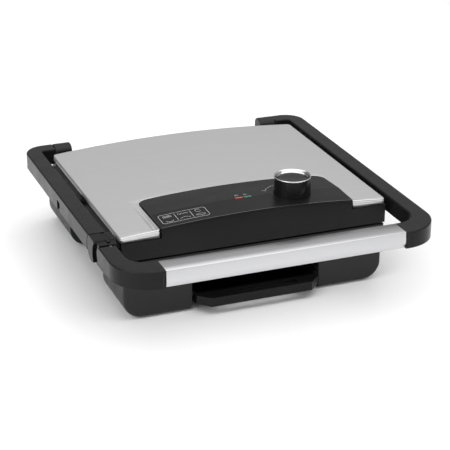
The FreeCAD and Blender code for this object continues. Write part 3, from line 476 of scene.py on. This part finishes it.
def shrunk(line, inset):
    """The outline moved inwards by inset."""
    made = []
    for k, spot in enumerate(line):
        before, after = line[k - 1], line[(k + 1) % len(line)]
        run = ((after - spot).normalized() + (spot - before).normalized()).normalized()
        made.append(spot + Vector((-run.y, run.x)) * inset)
    return made


class LidShape:
    """Outline, top surface and lower edge of the lid's sheet, worked out from the CAD boxes."""

    opening_gap = 0.0005
    outer_round, mouth_round, rear_round = 0.004, 0.003, 0.0125
    camber = 0.0075
    left_dip, right_dip, dip_at_rear = 0.0034, 0.0006, 0.2
    dip_middle, dip_width = 0.0045, 0.0026
    dip_front, dip_ramp = 0.001, 0.006
    mouth_length = 0.02

    def __init__(self):
        self.low, self.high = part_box("lid_cover")
        panel_low, panel_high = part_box("control_panel")
        self.left = panel_low.x - self.opening_gap
        self.right = panel_high.x + self.opening_gap
        self.rear = panel_high.y + self.opening_gap
        self.half = self.high.x
        self.camber_radius = self.half * self.half / (2 * self.camber) + self.camber / 2

    def outline(self):
        """Closed line around the sheet, with the panel's opening cut in from the front."""
        front, back = self.low.y, self.high.y
        outer, mouth, inner = self.outer_round, self.mouth_round, self.rear_round
        return rounded_outline([(-self.half, front, outer), (self.left, front, mouth),
                                (self.left, self.rear, inner), (self.right, self.rear, inner),
                                (self.right, front, mouth), (self.half, front, outer),
                                (self.half, back, outer), (-self.half, back, outer)])

    def beside(self, spot):
        """Distance out from the panel's opening, less than zero inside its width."""
        return max(self.left - spot.x, spot.x - self.right)

    def top(self, spot):
        """Height of the cambered top, with a soft dip along both sides of the panel."""
        height = self.high.z - self.camber_radius + math.sqrt(self.camber_radius ** 2 - spot.x ** 2)
        across = self.beside(spot)
        if across > 0 and spot.y < self.rear:
            share = (self.rear - spot.y) / (self.rear - self.low.y)
            ahead = min(1, max(0, (spot.y - self.low.y - self.dip_front) / self.dip_ramp))
            deepest = self.left_dip if spot.x < 0 else self.right_dip
            depth = deepest * (self.dip_at_rear + (1 - self.dip_at_rear) * share) * ahead
            height -= depth * math.exp(-((across - self.dip_middle) / self.dip_width) ** 2)
        return height

    def lowest(self, spot):
        """Bottom of the folded edge; it rises in a round beside the panel."""
        across = max(0, self.beside(spot))
        reach = self.mouth_round
        if across > reach or spot.y > self.low.y + self.mouth_length:
            return self.low.z
        return self.low.z + reach - math.sqrt(reach ** 2 - (reach - across) ** 2)

    def inside(self):
        """Points within the outline: an even net, and a finer one over the two dips."""
        margin, opening_margin, step = 0.002, 0.0015, 0.0045
        strip_start, strip_front = 0.0016, 0.0022
        columns, column_step = 12, 0.0009
        rows, row_step = 35, 0.0024
        spots = [Vector((-self.half + margin + i * step, self.low.y + margin + j * step))
                 for i in range(int(2 * self.half / step) + 1)
                 for j in range(int((self.high.y - self.low.y) / step) + 1)]
        for edge, side in ((self.left, -1), (self.right, 1)):
            spots += [Vector((edge + side * (strip_start + i * column_step),
                              self.low.y + strip_front + j * row_step))
                      for i in range(columns) for j in range(rows)]
        return [spot for spot in spots
                if min(self.half - abs(spot.x), spot.y - self.low.y, self.high.y - spot.y) > margin
                and (self.beside(spot) > opening_margin or spot.y > self.rear + margin)]


def lid_skin():
    """Brushed sheet over the lid: the top as a net of triangles, then rings down the folded edge."""
    shape = LidShape()
    edge_step, merge_distance, sheet_thickness = 0.002, 1e-7, 0.0006
    # Inset from the outline and fall below the top: an edge round, a shallow groove, the roll below it.
    folds = [(0.0009, 0), (0.00056, 0.00007), (0.00026, 0.00026), (0.00007, 0.00056), (0, 0.0009),
             (0.0001, 0.0011), (0.0009, 0.0014), (0.0009, 0.0019), (0.0001, 0.0023), (0, 0.0026)]
    outline = fine_line(shape.outline(), True, edge_step)
    inner = shrunk(outline, folds[0][0])
    count = len(inner)
    rim = [(k, (k + 1) % count) for k in range(count)]
    spots, _, triangles, origins, _, _ = delaunay_2d_cdt(inner + shape.inside(), rim, [], 1, merge_distance)
    points = [(spot.x, spot.y, shape.top(spot)) for spot in spots]
    made_from = {origin: made for made, merged in enumerate(origins) for origin in merged}
    faces = [tuple(triangle) for triangle in triangles]
    previous = [made_from[k] for k in range(count)]
    rings = [[(*spot, shape.top(middle) - fall) for spot, middle in zip(shrunk(outline, inset), inner)]
             for inset, fall in folds[1:]]
    rings.append([(*spot, shape.lowest(spot)) for spot in outline])
    for ring in rings:
        start = len(points)
        points += ring
        current = list(range(start, start + count))
        faces += [(previous[k], current[k], current[(k + 1) % count], previous[(k + 1) % count])
                  for k in range(count)]
        previous = current
    mesh = mesh_from("lid_skin", points, faces)
    outwards(mesh)
    skin = new_piece("lid_skin", "lid", mesh, MATERIALS["lid_steel"], replaces=("lid_cover",))
    thick = skin.modifiers.new("sheet", "SOLIDIFY")
    thick.thickness = sheet_thickness
    thick.offset = -1


# ----------------------------------------------------------------------- handle frame

def sleeve_section(low, high):
    """Closed (y, z) section of the bar: crowned front, eased front edges and bevelled rear edges."""
    middle, half_height = (low.z + high.z) / 2, (high.z - low.z) / 2
    upper_crown, lower_crown = 0.0007, 0.0024
    edge, bevel, ease = 0.0005, 0.0016, 0.0002
    upper_turn, lower_turn = 0.0006, 0.0008
    steps_per_half = 12
    section = []
    for k in range(2 * steps_per_half + 1):
        share = k / steps_per_half - 1
        crown = (upper_crown if share > 0 else lower_crown) * share ** 2
        section.append((low.y + crown, middle + share * (half_height - edge)))
    section += [(low.y + upper_crown + ease, high.z - ease), (low.y + upper_crown + upper_turn, high.z)]
    section += [(high.y - bevel, high.z), (high.y - edge, high.z - edge), (high.y, high.z - bevel)]
    section += [(high.y, low.z + bevel), (high.y - edge, low.z + edge), (high.y - bevel, low.z)]
    section += [(low.y + lower_crown + lower_turn, low.z), (low.y + lower_crown + ease, low.z + ease)]
    return section


def bar_sleeve():
    """Aluminium sleeve of the handle bar: softly crowned front face and small edge rounds."""
    low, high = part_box("handle_sleeve")
    middle, centre_y = (low.z + high.z) / 2, (low.y + high.y) / 2
    sharpest_smooth = 40
    section = sleeve_section(low, high)
    # Place along the bar and inset of the section there: a small round at each end.
    stations = [(low.x, 0.0005), (low.x + 0.0002, 0.00015), (low.x + 0.0006, 0)]
    stations += [(-x, inset) for x, inset in reversed(stations)]
    points, faces = [], []
    for x, inset in stations:
        for y, z in section:
            run = Vector((centre_y - y, middle - z)).normalized() * inset
            points.append((x, y + run.x, z + run.y))
    count = len(section)
    for n in range(len(stations) - 1):
        faces += [(n * count + k, n * count + (k + 1) % count, (n + 1) * count + (k + 1) % count,
                   (n + 1) * count + k) for k in range(count)]
    faces += [tuple(range(count)), tuple(range(len(points) - count, len(points)))]
    mesh = mesh_from("bar_sleeve", points, faces)
    outwards(mesh)
    sleeve = new_piece("bar_sleeve", "frame", mesh, MATERIALS["bar_aluminium"],
                       replaces=("handle_sleeve",))
    mark_sharp(sleeve, sharpest_smooth)


def collar_seam_shade(name, side, nodes):
    """Painted shade: a thin dark band on the frame's moulding beside the end of the bar, in place of the
    shade in the seam there.
    """
    bar_low, bar_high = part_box("handle_sleeve")
    arm_low, arm_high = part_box("arm_right")
    middle, centre_y = (arm_low.z + arm_high.z) / 2, (bar_low.y + bar_high.y) / 2
    gap, width, lift, depth = 0.0030, 0.0005, 0.00006, 0.0002
    outside, steps = 0.03, 72
    trees = [surface_of(node) for node in nodes]
    points, faces = [], []
    for k in range(steps):
        a = 2 * math.pi * k / steps
        out = Vector((0, math.cos(a), math.sin(a)))
        for x in (bar_high.x + gap, bar_high.x + gap + width):
            start = Vector((side * x, centre_y, middle)) + out * outside
            hits = [tree.ray_cast(start, -out) for tree in trees]
            near = min((hit[3], hit[0]) for hit in hits if hit[0] is not None)[1]
            points += [tuple(near + out * lift), tuple(near - out * depth)]
    for k in range(steps):
        a, b = 4 * k, 4 * ((k + 1) % steps)
        faces += [(a, b, b + 2, a + 2), (a + 1, a + 3, b + 3, b + 1), (a, a + 1, b + 1, b),
                  (a + 2, b + 2, b + 3, a + 3)]
    mesh = mesh_from(name, points, faces)
    outwards(mesh)
    new_piece(name, "frame", mesh, PAINTED_SHADE, smooth=False)


def frame_parting_shade():
    """Painted shade and painted reflection: a fine dark line along the outer top edge of the frame,
    wherever the top is level, in place of the parting line's shade and the dark reflection on the rounded
    edge.
    """
    bar_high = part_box("handle_sleeve")[1]
    arm_low, arm_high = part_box("arm_right")
    inset, rear_inset, front_round, rear_round = 0.0024, 0.004, 0.0416, 0.012
    level_depth, bar_gap, hinge_length = 0.0015, 0.001, 0.03
    width, lift, fewest_spots = 0.0004, 0.00004, 7
    half_width, front, rear = arm_high.x - inset, arm_low.y + inset, arm_high.y - rear_inset
    tree = BVHTree.FromPolygons(*joined(("arm_left", "corner_left", "arm_right")))
    path = rounded_outline([(-half_width, front, front_round), (half_width, front, front_round),
                            (half_width, rear, rear_round), (-half_width, rear, rear_round)], steps=24)
    runs, run = [], []
    for spot in fine_line(path, True, RIBBON_STEP):
        ground = drop(tree, spot.x, spot.y)
        level = ground is not None and ground > arm_high.z - level_depth
        off_the_bar = abs(spot.x) > bar_high.x + bar_gap or spot.y > 0
        if level and off_the_bar and spot.y < arm_high.y - hinge_length:
            run.append((spot.x, spot.y))
        elif run:
            runs.append(run)
            run = []
    if run:
        runs.append(run)
    lines = [(run[1:-1], False) for run in runs if len(run) >= fewest_spots]
    ribbons("frame_parting_shade", lines, width, tree, lift, "frame", PAINTED_SHADE)


# ------------------------------------------------------------------- panel and knob

def bars_symbol(x, upper, lower):
    """Three bars above a shallow bowl."""
    half, spacing = 0.005, 0.0018
    bars = [([(x - half, y), (x + half, y)], False) for y in (upper - spacing, upper, upper + spacing)]
    return bars + [(arc((x, lower + 0.001), 0.0045, 200, 340, 10), False)]


def wave_symbol(x, upper, lower):
    """A wavy line above a chevron."""
    half, step, swing, turn = 0.006, 0.001, 0.0012, 1.6
    wave = [(x - half + n * step, upper + swing * math.sin(n * turn)) for n in range(13)]
    chevron = [(x - half, lower - 0.001), (x, lower + 0.0016), (x + half, lower - 0.001)]
    return [(wave, False), (chevron, False)]


def ring_symbol(x, upper, lower):
    """An open ring above an oval."""
    length, height, steps = 0.0052, 0.0020, 16
    turns = [2 * math.pi * k / steps for k in range(steps)]
    oval = [(x + length * math.cos(a), lower + height * math.sin(a)) for a in turns]
    return [(arc((x, upper), 0.0032, 30, 330, 14), False), (oval, True)]


def symbol_row(low):
    """Framed row of three plain symbols near the panel's front left corner."""
    left, front = low.x + 0.005, low.y + 0.0085
    right, back = left + 0.054, front + 0.0215
    corner, off_middle = 0.003, 0.0050
    border = rounded_outline([(left, front, corner), (right, front, corner), (right, back, corner),
                              (left, back, corner)])
    lines = [([tuple(spot) for spot in border], True)]
    third, middle = (right - left) / 3, (front + back) / 2
    for x in (left + third, left + 2 * third):
        lines.append(([(x, front + corner), (x, back - corner)], False))
    for k, symbol in enumerate((bars_symbol, wave_symbol, ring_symbol)):
        lines += symbol(left + (k + 0.5) * third, middle + off_middle, middle - off_middle)
    return lines


def lamp_marks():
    """A small ring behind the red lamp and a small triangle behind the green one."""
    behind = 0.0075
    ring_x, triangle_x = centre_of("lens_red")[0], centre_of("lens_green")[0]
    ring_y, triangle_y = (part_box(node)[1].y + behind for node in ("lens_red", "lens_green"))
    half, foot, tip = 0.0018, triangle_y - 0.0012, triangle_y + 0.0016
    triangle = [(triangle_x - half, foot), (triangle_x, tip), (triangle_x + half, foot)]
    return [(arc((ring_x, ring_y), 0.0017, 0, 345, 12), True), (triangle, True)]


def knob_scale(knob):
    """An arc around the knob with a tick across both of its ends."""
    radius, start, end = 0.031, 152, 62
    lines = [(arc(knob, radius, start, end, 40), False)]
    for angle in (start, end):
        a = math.radians(angle)
        tick = [(knob[0] + r * math.cos(a), knob[1] + r * math.sin(a))
                for r in (radius - 0.0015, radius + 0.0035)]
        lines.append((tick, False))
    return lines


def panel_marks():
    """Printed marks on the control panel, a dark line of painted shade along its crease, and a light line
    of painted highlight along its front edge.
    """
    tree = surface_of("control_panel")
    low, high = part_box("control_panel")
    knob_low, knob_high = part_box("knob_body")
    marks = symbol_row(low) + lamp_marks() + knob_scale(centre_of("knob_body"))
    ribbons("panel_print", marks, 0.00050, tree, 0.00004, "lid", INK)

    end_gap, lamp_gap, knob_gap, edge_gap = 0.0008, 0.001, 0.002, 0.0004
    ridge = centre_of("lens_red")[1]
    lamps_left, lamps_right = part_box("lens_red")[0].x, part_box("lens_green")[1].x
    stretches = ((low.x + end_gap, lamps_left - lamp_gap), (lamps_right + lamp_gap, knob_low.x - knob_gap),
                 (knob_high.x + knob_gap, high.x - end_gap))
    # Painted shade: dark lines along the panel's crease beside the lamps and the knob.
    crease = [([(start, ridge), (end, ridge)], False) for start, end in stretches]
    ribbons("panel_crease_shade", crease, 0.00045, tree, 0.00003, "lid", PAINTED_SHADE)

    # Painted highlight: a thin light line along the panel's front edge, in place of the catch-light on that
    # edge.
    edge = low.y + edge_gap
    front_line = [([(low.x + end_gap, edge), (high.x - end_gap, edge)], False)]
    ribbons("panel_front_highlight", front_line, 0.0006, tree, 0.00005, "lid", PAINTED_HIGHLIGHT)


def knob_details():
    """Chrome bezel with a tapered inner wall, and a dished face in place of the flat cap."""
    low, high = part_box("knob_ring")
    centre = centre_of("knob_ring")
    radius = (high.x - low.x) / 2
    # Inset from the knob's side and fall below its top: over the rim, down the inner wall and back.
    bezel = [(0, 0.0018), (0, 0.0005), (0.0002, 0.0001), (0.0005, 0), (0.0008, 0.0001), (0.0012, 0.0005),
             (0.0038, 0.0040), (0.0040, 0.0045), (0.0034, 0.0045), (0.0033, 0.0018)]
    profile = [(radius - inset, high.z - fall) for inset, fall in bezel]
    lathe("knob_bezel", centre, profile, "knob", MATERIALS["knob_chrome"],
          replaces=("knob_ring",))

    dish_inset, dish_lift, dish_depth, steps = 0.0036, 0.0003, 0.0008, 10
    rim = radius - dish_inset
    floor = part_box("knob_cap")[0].z
    dish = [(0, floor)]
    dish += [(rim * k / steps, floor + dish_lift + dish_depth * (k / steps) ** 2) for k in range(steps + 1)]
    dish += [(rim, floor)]
    lathe("knob_dish", centre, dish, "knob", MATERIALS["knob_plastic"],
          replaces=("knob_cap",))


# --------------------------------------------------------------------- small details

def cross_recess_shades(name, node, body):
    """Painted shade: a dark cross-shaped inlay on the visible end of each screw head, in place of the
    shaded drive recess.
    """
    arm, wide, lift, depth, taper = 0.0021, 0.00045, 0.00004, 0.0002, 0.6
    outline = [(arm, -wide), (arm, wide), (wide, wide), (wide, arm), (-wide, arm), (-wide, wide),
               (-arm, wide), (-arm, -wide), (-wide, -wide), (-wide, -arm), (wide, -arm), (wide, -wide)]
    sides = len(outline)
    vertices = NODES[node].data.vertices
    edge = min(vertex.co.z for vertex in vertices)
    heads = {}
    for vertex in vertices:
        if abs(vertex.co.z - edge) < 1e-5:
            heads.setdefault((round(vertex.co.x, 1), round(vertex.co.y, 1)), []).append(vertex.co)
    points, faces = [], []
    for spots in heads.values():
        x = (min(spot.x for spot in spots) + max(spot.x for spot in spots)) / 2
        y = (min(spot.y for spot in spots) + max(spot.y for spot in spots)) / 2
        mouth = len(points)
        bottom = mouth + sides
        points += [(x + a, y + b, edge - lift) for a, b in outline]
        points += [(x + a * taper, y + b * taper, edge + depth) for a, b in outline]
        faces.append(tuple(range(bottom, bottom + sides)))
        faces += [(mouth + k, mouth + (k + 1) % sides, bottom + (k + 1) % sides, bottom + k)
                  for k in range(sides)]
        faces.append(tuple(reversed(range(mouth, bottom))))
    new_piece(name, body, mesh_from(name, points, faces), PAINTED_SHADE, smooth=False)


# --------------------------------------------------------------------------- build

def add_floor():
    """Wide plain floor just under the feet."""
    half, gap = 12, 0.0001
    mesh = mesh_from("floor", [(-half, -half, 0), (half, -half, 0), (half, half, 0), (-half, half, 0)],
                     [(0, 1, 2, 3)])
    floor = bpy.data.objects.new("floor", mesh)
    bpy.context.scene.collection.objects.link(floor)
    paint(floor, studio_floor("studio_floor"))
    floor.location.z = cad_low.z - gap


add_camera()
add_world()
bpy.context.scene.view_settings.view_transform = "Standard"
add_softbox("top_softbox", (0.0, -0.1, 2.2), (0, 0, 0), (4.6, 4.0), 1.28)
add_softbox("rear_softbox", (1.2, 3.0, 1.5), (0, 0, 0.05), (3.6, 1.4), 0.26)
add_softbox("left_softbox", (-2.2, -0.9, 1.1), (0, 0, 0.05), (1.9, 1.6), 2.4)
add_softbox("front_softbox", (0.9, -2.6, 0.9), (0, 0, 0.05), (1.8, 0.8), 0.6)
add_floor()

for node, thing in NODES.items():
    paint(thing, MATERIALS[SLOT_OF[node]])
paint(NODES["lid_housing"], MATERIALS["housing_plastic"])
paint(NODES["lid_fascia"], MATERIALS["fascia_plastic"])

lid_skin()
bar_sleeve()
collar_seam_shade("collar_seam_left", -1, ("corner_left", "corner_left_floor"))
collar_seam_shade("collar_seam_right", 1, ("arm_right", "arm_right_floor"))
frame_parting_shade()
panel_marks()
knob_details()
cross_recess_shades("lower_screw_drive_shades", "lower_plate_screws", "base")
cross_recess_shades("base_screw_drive_shades", "base_screws", "base")
